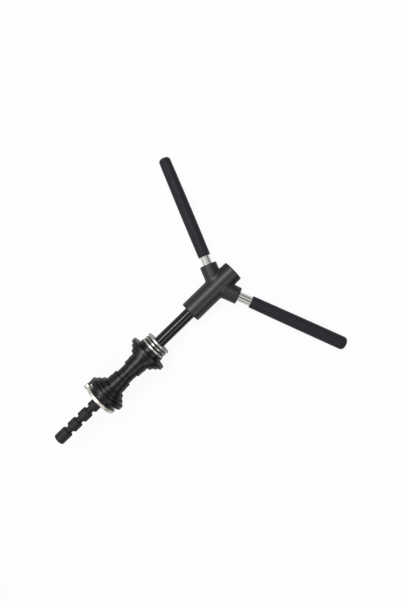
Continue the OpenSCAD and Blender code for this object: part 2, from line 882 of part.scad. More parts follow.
as_it_lies() spindle();
as_it_lies() stop_washer();
as_it_lies() stop_screw();
as_it_lies() guide_bush();
as_it_lies() handle_head();
as_it_lies() spindle_nut();
as_it_lies() bush_circlip();
as_it_lies() head_cap();
as_it_lies() left_rod();
as_it_lies() right_rod();
as_it_lies() left_grip();
as_it_lies() right_grip();
as_it_lies() upper_ring();
as_it_lies() upper_press_disc();
as_it_lies() bearing_lower_washer();
as_it_lies() bearing_cage();
as_it_lies() bearing_balls();
as_it_lies() bearing_top_washer();
as_it_lies() lower_press_disc();
as_it_lies() lower_ring();
as_it_lies() lock_plate();
as_it_lies() pivot_screw();
as_it_lies() pivot_spacer();
as_it_lies() wave_washer();
as_it_lies() stop_pin();
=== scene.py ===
"""Headset press: looks, added detail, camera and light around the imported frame."""

import json
import math

import bmesh
import bpy
import numpy as np
from bpy.props import FloatProperty, FloatVectorProperty, IntProperty, PointerProperty
from mathutils import Matrix, Vector


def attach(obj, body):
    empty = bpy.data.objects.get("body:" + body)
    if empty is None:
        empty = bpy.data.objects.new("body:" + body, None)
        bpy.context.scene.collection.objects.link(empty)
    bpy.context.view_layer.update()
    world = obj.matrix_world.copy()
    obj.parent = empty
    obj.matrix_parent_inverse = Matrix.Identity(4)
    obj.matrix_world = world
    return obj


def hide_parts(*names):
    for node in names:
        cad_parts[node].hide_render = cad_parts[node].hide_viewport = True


bl_info = {
    "name": "Headset press",
    "version": (1, 0, 0),
    "blender": (4, 5, 0),
    "location": "3D View > Sidebar > Press",
    "description": "Finishes a headset press and sets it on a studio floor",
    "category": "Object",
}

MM = 0.001
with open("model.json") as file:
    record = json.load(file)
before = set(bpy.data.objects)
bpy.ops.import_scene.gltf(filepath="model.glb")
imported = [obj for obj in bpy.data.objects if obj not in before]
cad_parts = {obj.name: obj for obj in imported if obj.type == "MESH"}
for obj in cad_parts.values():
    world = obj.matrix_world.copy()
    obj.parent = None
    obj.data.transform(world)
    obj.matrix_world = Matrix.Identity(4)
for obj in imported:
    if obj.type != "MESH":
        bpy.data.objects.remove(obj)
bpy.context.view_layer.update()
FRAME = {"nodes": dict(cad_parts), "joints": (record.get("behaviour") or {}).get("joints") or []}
JOINTS = {joint["name"]: joint for joint in FRAME["joints"]}


def press_place():
    """The press's own frame: x runs along the spindle to the head, from the plane where
    the two discs meet, and y points to the left arm. It counts in millimetres."""
    along = Vector(JOINTS["handle_feed"]["axis"]).normalized()
    upper = Vector(JOINTS["upper_disc_spin"]["pos_m"])
    lower = Vector(JOINTS["lower_disc_spin"]["pos_m"])
    middle = (upper + lower) / 2
    pivot = Vector(JOINTS["lock_plate_swing"]["pos_m"]) - middle
    left = (pivot - pivot.dot(along) * along).normalized()
    up = along.cross(left)
    turn = Matrix((along, left, up)).transposed().to_4x4()
    return Matrix.Translation(middle) @ turn @ Matrix.Scale(MM, 4)


PRESS = press_place()
# Sizes that the part's source states and the frame doesn't, in millimetres
ARM_ANGLE = math.radians(68.5)
ARM_HEIGHT = 56
SPIGOT_RADIUS = 6
HELD_FIT = 0.02


def extent(name, place=PRESS):
    """Lowest and highest corner of a CAD node in a frame, in millimetres."""
    back = place.inverted()
    points = [back @ vertex.co for vertex in FRAME["nodes"][name].data.vertices]
    return [Vector([pick(point[i] for point in points) for i in range(3)]) for pick in (min, max)]


def on_arm(crossing, angle, side):
    """The frame of an arm: z runs out along it. Side is 1 for the left arm, -1 for the right."""
    out = Matrix.Rotation(side * angle, 4, "Z")
    return PRESS @ Matrix.Translation((crossing, 0, 0)) @ out @ Matrix.Rotation(math.pi / 2, 4, "Y")


PIVOT_Y = (PRESS.inverted() @ Vector(JOINTS["lock_plate_swing"]["pos_m"])).y
HEAD_X = (PRESS.inverted() @ Vector(JOINTS["handle_turn"]["pos_m"])).x
HEAD_LENGTH = extent("handle_head")[1].x - HEAD_X
HEAD_DIAMETER = 2 * extent("handle_head")[1].z
NUT_X = extent("spindle_nut")[0].x
BUSH_R = extent("guide_bush")[1].z
NUT_R = extent("spindle_nut")[1].z
WAVE_WASHER = extent("wave_washer")
SIDES = {"left": 1, "right": -1}
ARMS = {name: on_arm(HEAD_X + ARM_HEIGHT, ARM_ANGLE, side) for name, side in SIDES.items()}
GRIPS = {name: extent(f"{name}_grip", place) for name, place in ARMS.items()}
ROD = extent("left_rod", ARMS["left"])


def linear(colour):
    """An sRGB hex colour as linear red, green and blue."""
    parts = [int(colour[i : i + 2], 16) / 255 for i in (1, 3, 5)]
    return [c / 12.92 if c <= 0.04045 else ((c + 0.055) / 1.055) ** 2.4 for c in parts]


def length(name, description, millimetres, low=0.0, high=1000.0):
    """A size that is shown in the scene's unit of length."""
    return FloatProperty(
        name=name,
        description=description,
        default=millimetres * MM,
        min=low * MM,
        max=high * MM,
        unit="LENGTH",
    )


def colour(name, description, value):
    """A colour that is given as sRGB hex."""
    return FloatVectorProperty(
        name=name,
        description=description,
        default=linear(value),
        min=0,
        max=1,
        subtype="COLOR",
    )


class PressSizes(bpy.types.PropertyGroup):
    """Sizes of the pieces that are shaped here, all within the frame's own sizes"""

    head_x: length("Head start", "Distance from the discs' plane to the head's mouth", HEAD_X)
    head_length: length("Head length", "Length of the head", HEAD_LENGTH)
    head_diameter: length("Head diameter", "Diameter of the head", HEAD_DIAMETER)
    head_edge: length("Head edge", "Radius on the head's end edges", 1.8)
    arm_height: length("Arm height", "Distance from the head's mouth to the arms", ARM_HEIGHT)
    arm_angle: FloatProperty(
        name="Arm angle",
        description="Angle between the spindle and each arm",
        default=ARM_ANGLE,
        subtype="ANGLE",
    )
    socket_diameter: length("Socket diameter", "Diameter of the arm sockets", 26)
    socket_reach: length("Socket reach", "Distance from the axis to a socket's end", 35.2)
    socket_edge: length("Socket edge", "Radius on a socket's end edge", 1.5)
    blend: length("Blend", "Radius between the head's body and its sockets", 2.2, 0.5, 8)
    mesh_step: length("Mesh step", "Size of the head's mesh", 0.8, 0.4, 2)
    mouth_radius: length("Mouth radius", "Radius of the mouth that holds the bush", BUSH_R + 0.05)
    mouth_depth: length("Mouth depth", "Depth of the mouth", 17)
    clip_depth: length("Circlip groove", "Distance from the mouth to its groove", 1.35)
    clip_width: length("Groove width", "Width of the circlip's groove", 1.3)
    clip_radius: length("Groove radius", "Radius of the circlip's groove", 12.7)
    core_radius: length("Shoulder bore", "Radius of the bore below the nut", 9.5)
    nut_x: length("Nut start", "Distance from the discs' plane to the nut", NUT_X)
    bore_radius: length("Bore radius", "Radius of the bore that holds the nut", NUT_R + HELD_FIT)
    rod_radius: length("Rod radius", "Radius of the rods", ROD[1].x)
    rod_hole: length("Rod hole", "Radius of the counterbore for a rod", ROD[1].x + HELD_FIT)
    spigot_hole: length(
        "Spigot hole", "Radius of the hole for a rod's spigot", SPIGOT_RADIUS + HELD_FIT
    )
    spigot_start: length("Spigot start", "Distance from the axis to that hole", ROD[0].z - HELD_FIT)
    counterbore: length("Counterbore", "Depth of the counterbore for a rod", 3)
    grip_inner: length("Grip inner diameter", "Diameter of a grip at its inner end", 18.4)
    left_start: length(
        "Left grip start", "Distance from the axis to the left grip", GRIPS["left"][0].z
    )
    left_length: length(
        "Left grip length",
        "Length of the left grip",
        GRIPS["left"][1].z - GRIPS["left"][0].z,
    )
    left_middle: length("Left grip middle", "Diameter at the left grip's middle", 18.9)
    left_tip: length("Left grip tip", "Diameter near the left grip's tip", 17.6)
    right_start: length(
        "Right grip start", "Distance from the axis to the right grip", GRIPS["right"][0].z
    )
    right_length: length(
        "Right grip length",
        "Length of the right grip",
        GRIPS["right"][1].z - GRIPS["right"][0].z,
    )
    right_middle: length("Right grip middle", "Diameter at the right grip's middle", 19.5)
    right_tip: length("Right grip tip", "Diameter near the right grip's tip", 19.9)
    grip_end: length("Grip end", "Thickness of a grip's closed end", 5)
    grip_lip: length("Grip lip", "Radius on a grip's inner edge", 0.9)
    thread_lead: length("Thread lead", "Lead of the spindle's screw", 4)
    thread_length: length("Thread length", "Length of the spindle's screw", 54.5)
    thread_crest: length("Thread crest", "Radius of the screw's crest", 8.95)
    thread_core: length("Thread core", "Radius of the core that the thread stands on", 8)
    wave_x: length("Wave washer", "Distance from the discs' plane to the washer", -WAVE_WASHER[1].x)
    wave_room: length(
        "Wave room", "Room that the washer fills", WAVE_WASHER[1].x - WAVE_WASHER[0].x
    )
    wave_sheet: length("Wave sheet", "Thickness of the wave washer", 0.22)
    wave_outer: length("Wave outer radius", "Outer radius of the wave washer", WAVE_WASHER[1].z)
    wave_inner: length("Wave inner radius", "Inner radius of the wave washer", 1.52)
    waves: IntProperty(name="Waves", description="Waves round the washer", default=3, min=2)


class PressFinishes(bpy.types.PropertyGroup):
    """Colours of the press's materials"""

    powder: colour("Powder coat", "Dark grey coat of the head", "#201e20")
    grip: colour("Grip", "Blue-black rubber of the grips", "#1e1c24")
    disc: colour("Disc", "Black anodised aluminium of the discs", "#08080a")
    phosphate: colour("Phosphate", "Matt black of the grooved end", "#131217")
    black: colour("Polished black", "Black of the spindle's plain part", "#0c0c0d")
    chrome: colour("Chrome", "Chrome plate of the rods", "#e2e1da")
    bearing: colour("Bearing steel", "Ground steel of the bearing", "#bfc0bc")
    cage: colour("Cage", "Pressed steel of the bearing's cage", "#a09c91")
    balls: colour("Balls", "Hard polished steel of the balls", "#7c7e81")
    plate: colour("Plated steel", "Bright nickel of the lock plate", "#ebe8de")
    bronze: colour("Bronze", "Bronze of the nut", "#b98f58")
    nylon: colour("Nylon", "Natural nylon of the guide bush", "#d9d5c6")
    plastic: colour("Plastic", "Black plastic of the head's plug", "#1f1f21")
    oxide: colour("Black oxide", "Oxidised steel of small screws", "#1e1e20")
    spring: colour("Spring steel", "Bare spring steel", "#9a9995")
    rubber: colour("Ring rubber", "Black rubber of the rings", "#101011")


class PressStage(bpy.types.PropertyGroup):
    """Camera, light and floor"""

    distance: length("Distance", "Distance of the camera from the spindle", 900, 300, 3000)
    stand_x: length("Stand", "Place along the spindle that the camera stands above", 157.3)
    stand_y: length("Stand left", "Distance of the camera to the left of the spindle", 0.5)
    aim_x: length("Aim", "Place along the spindle that the camera looks at", 154.2)
    aim_y: length("Aim left", "Distance of that place to the left of the spindle", 2.0)
    turn: FloatProperty(
        name="Turn",
        description="Angle in the picture between level and the spindle",
        default=math.radians(44.15),
        subtype="ANGLE",
    )
    lens: FloatProperty(name="Lens", description="Focal length", default=36.19, min=10)
    lamp: FloatProperty(name="Lamps", description="Power of the soft lamps", default=7.2)
    floor: colour("Floor", "Colour of the floor", "#e8e8e8")


def mm(value):
    """A length of the scene in millimetres."""
    return value / MM


def arm_place(sizes, side):
    """The frame of an arm for the sizes as they are set."""
    return on_arm(mm(sizes.head_x + sizes.arm_height), sizes.arm_angle, side)


def along_press(x):
    """A frame whose z runs along the spindle, from the place x."""
    return PRESS @ Matrix.Translation((x, 0, 0)) @ Matrix.Rotation(math.pi / 2, 4, "Y")


def arc(centre, radius, start, end, steps):
    """Points of an arc, as (radius, height) pairs, with its angles in degrees."""
    points = []
    for i in range(steps + 1):
        turn = math.radians(start + (end - start) * i / steps)
        points.append((centre[0] + radius * math.cos(turn), centre[1] + radius * math.sin(turn)))
    return points


def new_object(name, made, place):
    """An object with its mesh moved to its place, and its own frame left at the origin."""
    made.normal_update()
    mesh = bpy.data.meshes.new(name)
    made.to_mesh(mesh)
    made.free()
    mesh.transform(place)
    mesh.update()
    piece = bpy.data.objects.new(name, mesh)
    bpy.context.scene.collection.objects.link(piece)
    return piece


def turned(outline, segments):
    """A closed turned shape round z, from an outline of (radius, height) points. An outline
    that starts and ends on the axis is closed there, any other closes on itself."""
    on_axis = 1e-6
    made = bmesh.new()
    rings = []
    for radius, height in outline:
        if radius < on_axis:
            rings.append([made.verts.new((0, 0, height))])
            continue
        ring = []
        for i in range(segments):
            turn = 2 * math.pi * i / segments
            ring.append(made.verts.new((radius * math.cos(turn), radius * math.sin(turn), height)))
        rings.append(ring)
    pairs = list(zip(rings, rings[1:]))
    if len(rings[0]) > 1:
        pairs.append((rings[-1], rings[0]))
    for low, high in pairs:
        if len(low) == 1 and len(high) == 1:
            continue
        for i in range(segments):
            j = (i + 1) % segments
            foot = (low[i % len(low)], low[j % len(low)])
            top = (high[j % len(high)], high[i % len(high)])
            made.faces.new(list(dict.fromkeys(foot + top)))
    bmesh.ops.recalc_face_normals(made, faces=made.faces)
    return made


def skin(made, rows):
    """Faces from each row of points to the next, all the way round them."""
    for row, following in zip(rows, rows[1:]):
        for i in range(len(row)):
            j = (i + 1) % len(row)
            made.faces.new((row[i], row[j], following[j], following[i]))


def smooth(piece, angle=35):
    """Smooth shading with edges kept sharp above an angle in degrees."""
    piece.data.shade_smooth()
    piece.data.set_sharp_from_angle(angle=math.radians(angle))


def finish(piece, material):
    """Gives a piece one material."""
    piece.data.materials.clear()
    piece.data.materials.append(material)


# Materials


def add(tree, kind, inputs=None, **settings):
    """Adds a node with its settings, and fills its inputs with values or other nodes' outputs."""
    node = tree.nodes.new(kind)
    for name, value in settings.items():
        setattr(node, name, value)
    for key, value in (inputs or {}).items():
        if isinstance(value, bpy.types.NodeSocket):
            tree.links.new(value, node.inputs[key])
        else:
            node.inputs[key].default_value = value
    return node


def new_material(name, **shader_inputs):
    """A material with one surface shader, whose inputs are given by name."""
    material = bpy.data.materials.new(name)
    material.use_nodes = True
    tree = material.node_tree
    tree.nodes.clear()
    inputs = {key.replace("_", " "): value for key, value in shader_inputs.items()}
    shader = add(tree, "ShaderNodeBsdfPrincipled", inputs)
    add(tree, "ShaderNodeOutputMaterial", {"Surface": shader.outputs["BSDF"]})
    return material, tree, shader


def opaque(value):
    """A colour with full opacity."""
    return (*value, 1)


def own_space(tree, place):
    """Millimetres in a piece's own frame, so that its pattern keeps its real size."""
    at, turn, size = place.decompose()
    coordinates = add(tree, "ShaderNodeTexCoord")
    return add(
        tree,
        "ShaderNodeMapping",
        {
            "Vector": coordinates.outputs["Object"],
            "Location": at,
            "Rotation": turn.to_euler(),
            "Scale": size,
        },
        vector_type="TEXTURE",
    ).outputs["Vector"]


def lathe_marks(tree, space, feed):
    """Fine rings as a lathe leaves them, on round walls and on flat faces alike."""
    across = add(tree, "ShaderNodeVectorMath", {0: space, 1: (0, 1, 1)}, operation="MULTIPLY")
    radius = add(tree, "ShaderNodeVectorMath", {0: across.outputs[0]}, operation="LENGTH")
    parts = add(tree, "ShaderNodeSeparateXYZ", {"Vector": space})
    travel = add(
        tree,
        "ShaderNodeMath",
        {0: parts.outputs["X"], 1: radius.outputs["Value"]},
        operation="ADD",
    )
    return add(
        tree,
        "ShaderNodeTexNoise",
        {"W": travel.outputs[0], "Scale": 1 / feed, "Detail": 2.0, "Roughness": 0.6},
        noise_dimensions="1D",
    ).outputs["Fac"]


def grain(tree, space, size, detail=2.0):
    """An even grain whose lumps are about as wide as the size in millimetres."""
    return add(
        tree,
        "ShaderNodeTexNoise",
        {"Vector": space, "Scale": 1 / size, "Detail": detail, "Roughness": 0.55},
    ).outputs["Fac"]


def between(tree, value, low, high):
    """Spreads a pattern's usual range between two values."""
    return add(
        tree,
        "ShaderNodeMapRange",
        {"Value": value, "From Min": 0.3, "From Max": 0.7, "To Min": low, "To Max": high},
    ).outputs["Result"]


def shades(tree, value, dark, light):
    """Runs from one colour to another with a pattern."""
    return add(
        tree,
        "ShaderNodeMix",
        {"Factor": between(tree, value, 0, 1), "A": opaque(dark), "B": opaque(light)},
        data_type="RGBA",
    )


def bump(tree, shader, height, depth, strength=1.0):
    """Raises a pattern by a depth in millimetres."""
    node = add(
        tree,
        "ShaderNodeBump",
        {"Height": height, "Strength": strength, "Distance": depth * MM},
    )
    tree.links.new(node.outputs["Normal"], shader.inputs["Normal"])


def scaled(value, by):
    """A colour made darker or lighter."""
    return [min(1, c * by) for c in value]


def tint(tree, shader, height, value, spread):
    """Varies the base colour by a share with a pattern."""
    mixed = shades(tree, height, scaled(value, 1 - spread), scaled(value, 1 + spread))
    tree.links.new(mixed.outputs["Result"], shader.inputs["Base Color"])


def powder_coat(finishes):
    """Polyester powder coat, sprayed and baked: an even dark grey with a fine dimpled skin
    that spreads each highlight into a soft band."""
    material, tree, shader = new_material(
        "powder_coat", Roughness=0.36, IOR=1.5, Specular_IOR_Level=0.5
    )
    space = own_space(tree, PRESS)
    skin = grain(tree, space, size=0.7, detail=3.0)
    cloud = grain(tree, space, size=9.0)
    tint(tree, shader, cloud, finishes.powder, spread=0.08)
    tree.links.new(between(tree, skin, 0.35, 0.47), shader.inputs["Roughness"])
    bump(tree, shader, skin, depth=0.02)
    return material


def foam_rubber(finishes, name, place):
    """Moulded nitrile rubber with closed pores: nearly black with a blue cast, dull, and
    speckled where the skin is open."""
    material, tree, shader = new_material(
        name, Roughness=0.62, IOR=1.5, Specular_IOR_Level=0.22, Sheen_Weight=0.05
    )
    space = own_space(tree, place)
    pores = grain(tree, space, size=0.5, detail=3.0)
    patches = grain(tree, space, size=6.0)
    tint(tree, shader, pores, finishes.grip, spread=0.3)
    tree.links.new(between(tree, patches, 0.55, 0.7), shader.inputs["Roughness"])
    bump(tree, shader, pores, depth=0.07)
    return material


def turned_stock(name, value, roughness, feed, depth, metallic=1, gloss=0.5, place=PRESS):
    """Metal or nylon as it leaves the lathe or the grinder: rings round its axis, finer
    than a highlight, that pull each highlight across them. The rings are drawn wider than
    the real feed of about 0.1 mm, so that they show."""
    material, tree, shader = new_material(name, Metallic=metallic, Specular_IOR_Level=gloss)
    space = own_space(tree, place)
    rings = lathe_marks(tree, space, feed)
    tint(tree, shader, rings, value, spread=0.1)
    tree.links.new(
        between(tree, rings, roughness * 0.8, roughness * 1.25), shader.inputs["Roughness"]
    )
    bump(tree, shader, rings, depth)
    return material


def plain_stock(name, value, roughness, size, depth, metallic=1, gloss=0.5):
    """Stamped, plated or moulded stock: an even skin with a faint irregular grain."""
    material, tree, shader = new_material(name, Metallic=metallic, Specular_IOR_Level=gloss)
    space = own_space(tree, PRESS)
    skin = grain(tree, space, size, detail=3.0)
    tint(tree, shader, skin, value, spread=0.08)
    tree.links.new(
        between(tree, skin, roughness * 0.8, roughness * 1.3), shader.inputs["Roughness"]
    )
    bump(tree, shader, skin, depth)
    return material


def spindle_steel(finishes):
    """One steel bar with two finishes: polished black oxide above the discs, which shows
    sharp grey streaks, and matt crystalline phosphate on the grooved end below them."""
    material, tree, shader = new_material("spindle_steel", IOR=1.5, Specular_IOR_Level=0.45)
    space = own_space(tree, PRESS)
    parts = add(tree, "ShaderNodeSeparateXYZ", {"Vector": space})
    upper = add(
        tree, "ShaderNodeMath", {0: parts.outputs["X"], 1: 0.0}, operation="GREATER_THAN"
    ).outputs[0]
    crystals = grain(tree, space, size=0.8, detail=4.0)
    rings = lathe_marks(tree, space, feed=0.5)
    matt = shades(
        tree, crystals, scaled(finishes.phosphate, 0.7), scaled(finishes.phosphate, 1.3)
    )
    polished = shades(tree, rings, scaled(finishes.black, 0.85), scaled(finishes.black, 1.15))
    both = add(
        tree,
        "ShaderNodeMix",
        {"Factor": upper, "A": matt.outputs["Result"], "B": polished.outputs["Result"]},
        data_type="RGBA",
    )
    tree.links.new(both.outputs["Result"], shader.inputs["Base Color"])
    rough = add(
        tree,
        "ShaderNodeMix",
        {
            "Factor": upper,
            "A": between(tree, crystals, 0.5, 0.68),
            "B": between(tree, rings, 0.14, 0.2),
        },
        data_type="FLOAT",
    )
    tree.links.new(rough.outputs["Result"], shader.inputs["Roughness"])
    relief = add(
        tree,
        "ShaderNodeMix",
        {"Factor": upper, "A": crystals, "B": between(tree, rings, 0.45, 0.55)},
        data_type="FLOAT",
    )
    bump(tree, shader, relief.outputs["Result"], depth=0.03)
    return material


# Pieces


class PRESS_OT_spindle(bpy.types.Operator):
    """Finishes the spindle and adds the ridge of its trapezoidal thread"""

    bl_idname = "press.spindle"
    bl_label = "Spindle"

    def execute(self, context):
        sizes, finishes = context.scene.press_sizes, context.scene.press_finishes
        nodes = FRAME["nodes"]
        steel = spindle_steel(finishes)
        finish(nodes["spindle"], steel)
        thread = self.thread(sizes)
        finish(thread, steel)
        smooth(thread)
        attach(thread, "spindle")
        washer_steel = turned_stock(
            "washer_steel", finishes.spring, roughness=0.3, feed=0.5, depth=0.01
        )
        finish(nodes["stop_washer"], washer_steel)
        oxide = plain_stock(
            "black_oxide", finishes.oxide, roughness=0.35, size=0.6, depth=0.01, metallic=0
        )
        finish(nodes["stop_screw"], oxide)
        finish(nodes["pivot_spacer"], oxide)
        return {"FINISHED"}

    @staticmethod
    def thread(sizes):
        """A ridge with sloping flanks, wound right-handed round the core. Its foot is sunk
        in the core, it starts and ends short of the screw's ends, and it fades in and out
        over a part of a turn. Its half widths are shares of the lead."""
        sunk, first_turn, left_out, run_out, faded = 0.2, 0.35, 0.75, 0.4, 0.02
        crest_share, foot_share, per_turn = 0.183, 0.26, 48
        lead, turns = mm(sizes.thread_lead), sizes.thread_length / sizes.thread_lead
        crest, core = mm(sizes.thread_crest), mm(sizes.thread_core) - sunk
        crest_half, core_half = crest_share * lead, foot_share * lead
        steps = int((turns - left_out) * per_turn)
        made = bmesh.new()
        rows = []
        for i in range(steps + 1):
            turn = 2 * math.pi * i / per_turn
            height = mm(sizes.nut_x) + lead * (first_turn + i / per_turn)
            share = min(1, i / per_turn / run_out, (steps - i) / per_turn / run_out)
            top = core + (crest - core) * max(share, faded)
            row = []
            for radius, off in (
                (core, -core_half),
                (top, -crest_half),
                (top, crest_half),
                (core, core_half),
            ):
                y, z = radius * math.cos(turn), radius * math.sin(turn)
                row.append(made.verts.new((height + off, y, z)))
            rows.append(row)
        skin(made, rows)
        made.faces.new(rows[0])
        made.faces.new(rows[-1])
        bmesh.ops.recalc_face_normals(made, faces=made.faces)
        return new_object("spindle_thread", made, PRESS)


class PRESS_OT_head(bpy.types.Operator):
    """Shapes the head with its sockets blended in, and finishes what it holds"""

    bl_idname = "press.head"
    bl_label = "Head"

    def execute(self, context):
        sizes, finishes = context.scene.press_sizes, context.scene.press_finishes
        nodes = FRAME["nodes"]
        fewest_faces = 1000
        head = self.body(sizes)
        for cutter in self.bores(sizes):
            cut = head.modifiers.new("bore", "BOOLEAN")
            cut.operation, cut.solver, cut.object = "DIFFERENCE", "EXACT", cutter
            self.apply(context, head)
            bpy.data.objects.remove(cutter)
        if len(head.data.polygons) < fewest_faces:
            raise RuntimeError("the head lost its surface when its bores were cut")
        smooth(head, angle=40)
        finish(head, powder_coat(finishes))
        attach(head, "handle")
        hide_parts("handle_head")
        bronze = turned_stock("bronze", finishes.bronze, roughness=0.28, feed=0.5, depth=0.02)
        finish(nodes["spindle_nut"], bronze)
        nylon = turned_stock(
            "nylon", finishes.nylon, roughness=0.4, feed=0.6, depth=0.02, metallic=0
        )
        finish(nodes["guide_bush"], nylon)
        spring_steel = plain_stock(
            "spring_steel", finishes.spring, roughness=0.32, size=0.8, depth=0.01
        )
        finish(nodes["bush_circlip"], spring_steel)
        plastic = plain_stock(
            "moulded_plastic", finishes.plastic, roughness=0.42, size=0.5, depth=0.03, metallic=0
        )
        finish(nodes["head_cap"], plastic)
        return {"FINISHED"}

    @staticmethod
    def apply(context, piece):
        """Puts the result of a piece's modifiers into its mesh."""
        context.view_layer.update()
        seen = piece.evaluated_get(context.evaluated_depsgraph_get())
        mesh = bpy.data.meshes.new_from_object(seen)
        piece.modifiers.clear()
        piece.data = mesh

    @staticmethod
    def distance(sizes, points):
        """Distance from the head's outer surface, negative inside. The body and the two
        sockets are rounded cylinders, and each pair is blended where it meets, over a width
        that gives the blend its radius."""
        width_to_radius = 1.17

        def rounded(along, across, middle, half, radius, edge):
            wide = across - radius + edge
            tall = np.abs(along - middle) - half + edge
            outside = np.hypot(np.maximum(wide, 0), np.maximum(tall, 0))
            return np.minimum(np.maximum(wide, tall), 0) + outside - edge

        def blended(a, b, width):
            near = np.maximum(width - np.abs(a - b), 0) / width
            return np.minimum(a, b) - near * near * width / 4

        x, y, z = points.T
        start, half = mm(sizes.head_x), mm(sizes.head_length) / 2
        result = rounded(
            x, np.hypot(y, z), start + half, half, mm(sizes.head_diameter) / 2, mm(sizes.head_edge)
        )
        reach = mm(sizes.socket_reach) / 2
        for side in SIDES.values():
            out = (math.cos(sizes.arm_angle), side * math.sin(sizes.arm_angle))
            from_crossing = x - mm(sizes.head_x + sizes.arm_height)
            along = from_crossing * out[0] + y * out[1]
            across = np.hypot(from_crossing * out[1] - y * out[0], z)
            socket = rounded(
                along, across, reach, reach, mm(sizes.socket_diameter) / 2, mm(sizes.socket_edge)
            )
            result = blended(result, socket, width_to_radius * mm(sizes.blend))
        return result

    @classmethod
    def body(cls, sizes):
        """A closed mesh on the head's outer surface: one point in each cell of a grid that
        the surface crosses, drawn onto it, and one face across each crossed grid line."""
        step, margin, slant = mm(sizes.mesh_step), 2.3, 6
        start, long = mm(sizes.head_x), mm(sizes.head_length)
        wide, tall = mm(sizes.socket_reach) + slant, mm(sizes.head_diameter) / 2
        low = np.array([start, -wide, -tall]) - margin * step
        high = np.array([start + long, wide, tall]) + margin * step
        axes = [np.arange(a, b, step) for a, b in zip(low, high)]
        grid = np.stack(np.meshgrid(*axes, indexing="ij"), axis=-1)
        field = cls.distance(sizes, grid.reshape(-1, 3)).reshape(grid.shape[:3])
        inside = field < 0
        ends = (slice(0, -1), slice(1, None))
        corners = [inside[i, j, k] for i in ends for j in ends for k in ends]
        filled = sum(corner.astype(int) for corner in corners)
        cells = np.argwhere((filled > 0) & (filled < 8))
        number = np.full(filled.shape, -1)
        number[tuple(cells.T)] = np.arange(len(cells))
        points = low + (cells + 0.5) * step
        rounds, nudge, least_slope = 8, 0.01, 0.2
        for _ in range(rounds):
            value = cls.distance(sizes, points)
            rises = [
                cls.distance(sizes, points + way) - cls.distance(sizes, points - way)
                for way in np.eye(3) * nudge
            ]
            slope = np.stack(rises, axis=-1) / (2 * nudge)
            size = np.maximum((slope**2).sum(axis=1), least_slope)
            points -= slope * (value / size)[:, None]
        made = bmesh.new()
        verts = [made.verts.new(point) for point in points]
        for axis in range(3):
            near, far = [slice(None)] * 3, [slice(None)] * 3
            near[axis], far[axis] = ends
            crossed = np.argwhere(inside[tuple(near)] != inside[tuple(far)])
            b, c = (axis + 1) % 3, (axis + 2) % 3
            for place in crossed:
                ring = []
                for back in ((0, 0), (1, 0), (1, 1), (0, 1)):
                    cell = place.copy()
                    cell[b] -= back[0]
                    cell[c] -= back[1]
                    ring.append(verts[number[tuple(cell)]])
                if not inside[tuple(place)]:
                    ring.reverse()
                made.faces.new(ring)
        bmesh.ops.recalc_face_normals(made, faces=made.faces)
        return new_object("head_shell", made, PRESS)

    @staticmethod
    def bores(sizes):
        """What is cut out of the head: its bore with a chamfer at each end and the
        circlip's groove, and the two rod holes."""
        beyond, chamfer = 2.0, 0.4
        long = mm(sizes.head_length)
        mouth, bore = mm(sizes.mouth_radius), mm(sizes.bore_radius)
        groove, depth = mm(sizes.clip_radius), mm(sizes.clip_depth)
        nut = mm(sizes.nut_x - sizes.head_x)
        outline = [
            (0, -beyond),
            (mouth + chamfer + beyond, -beyond),
            (mouth, chamfer),
            (mouth, depth),
            (groove, depth),
            (groove, depth + mm(sizes.clip_width)),
            (mouth, depth + mm(sizes.clip_width)),
            (mouth, mm(sizes.mouth_depth)),
            (mm(sizes.core_radius), mm(sizes.mouth_depth)),
            (mm(sizes.core_radius), nut),
            (bore, nut),
            (bore, long - chamfer),
            (bore + chamfer + beyond, long + beyond),
            (0, long + beyond),
        ]
        bore_shape = turned(outline, segments=96)
        cutters = [new_object("bore", bore_shape, along_press(mm(sizes.head_x)))]
        reach = mm(sizes.socket_reach)
        shoulder = reach - mm(sizes.counterbore)
        rod, spigot = mm(sizes.rod_hole), mm(sizes.spigot_hole)
        hole = [
            (0, mm(sizes.spigot_start)),
            (spigot, mm(sizes.spigot_start)),
            (spigot, shoulder),
            (rod, shoulder),
            (rod, reach - chamfer),
            (rod + chamfer + beyond, reach + beyond),
            (0, reach + beyond),
        ]
        for side in SIDES.values():
            hole_shape = turned(hole, segments=72)
            cutters.append(new_object("rod_hole", hole_shape, arm_place(sizes, side)))
        return cutters


